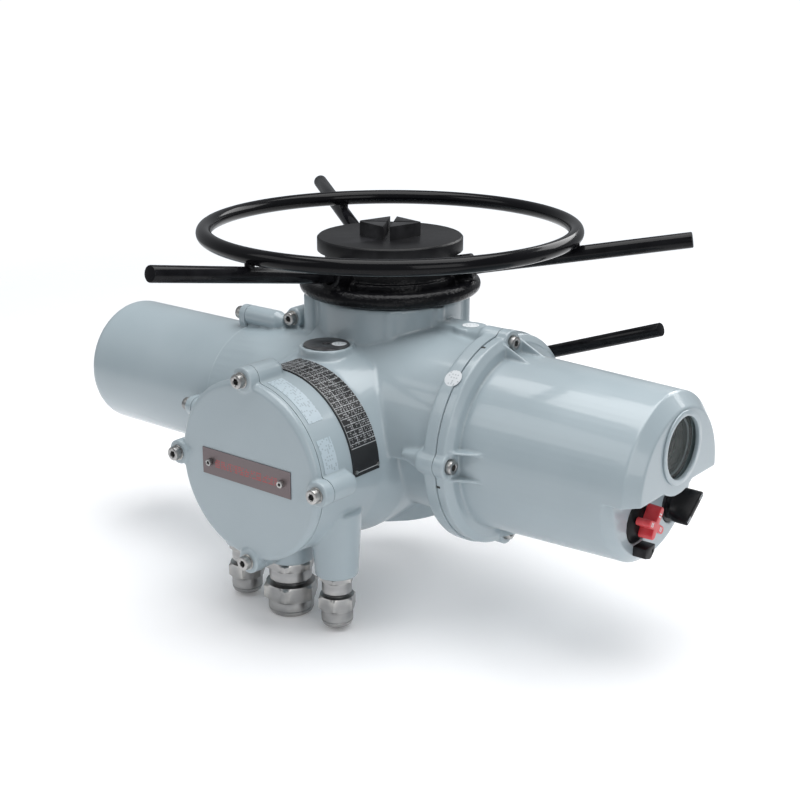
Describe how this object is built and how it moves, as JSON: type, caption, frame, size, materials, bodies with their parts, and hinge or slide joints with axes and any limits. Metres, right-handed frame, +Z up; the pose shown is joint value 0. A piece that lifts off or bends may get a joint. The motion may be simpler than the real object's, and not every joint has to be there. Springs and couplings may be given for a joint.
{
  "type": "motorized valve actuator",
  "caption": "Electric multi-turn valve actuator: motor, worm gear case, terminal box, control cover with sight glass, overhead hand wheel and declutch lever.",
  "frame": {"origin": "centre of the valve mounting face, on the stem axis", "axes": "+Z up the stem axis to the hand wheel, +X along the motor axis towards the control cover, -Y towards the terminal cover"},
  "size_m": [0.7055, 0.5086, 0.3821],
  "materials": {
    "grey_paint": "smooth pale blue-grey enamel",
    "black_gloss": "glossy black enamel",
    "black_casting": "glossy black enamel over a sand casting",
    "cap_black": "satin black moulding",
    "satin_black": "satin black moulding",
    "dark_plastic": "dark moulding",
    "red_plastic": "red moulding",
    "stainless": "turned stainless steel",
    "machined_steel": "machined steel",
    "oil_plug_steel": "blackened steel",
    "laminations": "laminated electrical steel",
    "bronze": "bearing bronze",
    "brass_studs": "brass",
    "seal_rubber": "black seal rubber",
    "window_glass": "clear toughened glass",
    "circuit_board": "green circuit board",
    "terminal_moulding": "dark terminal moulding",
    "brushed_plate": "brushed stainless sheet",
    "black_plate": "printed black aluminium plate"
  },
  "bodies": {
    "housing": {"badge_plate": "brushed_plate", "badge_screws": "stainless", "base_bearing": "machined_steel", "base_seal": "seal_rubber", "board_components": "dark_plastic", "column_cover": "grey_paint", "column_cover_screws": "stainless", "control_board": "circuit_board", "control_cover": "grey_paint", "control_screws": "stainless", "control_seal": "seal_rubber", "display_module": "dark_plastic", "gear_case": "grey_paint", "handwheel_bearing": "machined_steel", "large_gland_body": "stainless", "large_gland_nut": "stainless", "large_gland_seal": "seal_rubber", "lever_bush": "bronze", "lever_spring": "machined_steel", "lock_tab": "satin_black", "motor_housing": "grey_paint", "motor_screws": "stainless", "motor_seal": "seal_rubber", "oil_plug": "oil_plug_steel", "rating_plate": "black_plate", "rating_rivets": "stainless", "selector_collars": "satin_black", "shaft_bearings": "machined_steel", "side_screw": "stainless", "small_gland_bodies": "stainless", "small_gland_nuts": "stainless", "small_gland_seals": "seal_rubber", "stator": "laminations", "terminal_block": "terminal_moulding", "terminal_case": "grey_paint", "terminal_cover": "grey_paint", "terminal_screws": "stainless", "terminal_seal": "seal_rubber", "terminal_studs": "brass_studs", "window_bezel": "grey_paint", "window_glass": "window_glass", "window_seal": "seal_rubber"},
    "handwheel": {"handwheel_hub": "black_casting", "handwheel_ring": "black_gloss", "handwheel_arms": "black_gloss", "ring_welds": "black_gloss", "hub_bush": "bronze", "stem_cap": "cap_black", "cap_seal": "seal_rubber"},
    "drive": {"drive_sleeve": "machined_steel", "stem_nut": "bronze", "worm_wheel": "bronze"},
    "clutch": {"clutch_ring": "machined_steel"},
    "worm_drive": {"worm_shaft": "machined_steel", "rotor": "laminations"},
    "lever": {"lever_shaft": "machined_steel", "lever_rod": "black_gloss", "lever_hub": "black_gloss"},
    "red_knob": {"red_selector": "red_plastic"},
    "black_knob": {"black_selector": "satin_black"}
  },
  "joints": [
    {"name": "handwheel_spin", "type": "hinge", "parent": "housing", "child": "handwheel", "pos_m": [0, 0, 0.24], "axis": [0, 0, 1], "continuous": true},
    {"name": "drive_spin", "type": "hinge", "parent": "housing", "child": "drive", "pos_m": [0, 0, 0.108], "axis": [0, 0, 1], "continuous": true},
    {"name": "worm_spin", "type": "hinge", "parent": "housing", "child": "worm_drive", "pos_m": [0, -0.057, 0.108], "axis": [1, 0, 0], "continuous": true},
    {"name": "clutch_lift", "type": "slide", "parent": "drive", "child": "clutch", "axis": [0, 0, 1], "range_m": [0, 0.0142]},
    {"name": "lever_swing", "type": "hinge", "parent": "housing", "child": "lever", "pos_m": [0.015, 0.105, 0.122], "axis": [0, 1, 0], "range_deg": [0, 35], "stiffness_Nm_per_rad": 8, "springref_deg": -20.05},
    {"name": "red_knob_turn", "type": "hinge", "parent": "housing", "child": "red_knob", "pos_m": [0.335, -0.0465, 0.071], "axis": [1, 0, 0], "range_deg": [-60, 60]},
    {"name": "black_knob_turn", "type": "hinge", "parent": "housing", "child": "black_knob", "pos_m": [0.335, 0.017, 0.07], "axis": [1, 0, 0], "range_deg": [-45, 45], "stiffness_Nm_per_rad": 0.1}
  ],
  "couplings": [
    {"joint": "drive_spin", "follows": "worm_spin", "ratio": 0.022727},
    {"joint": "clutch_lift", "follows": "lever_swing", "m_per_rad": 0.022918}
  ]
}
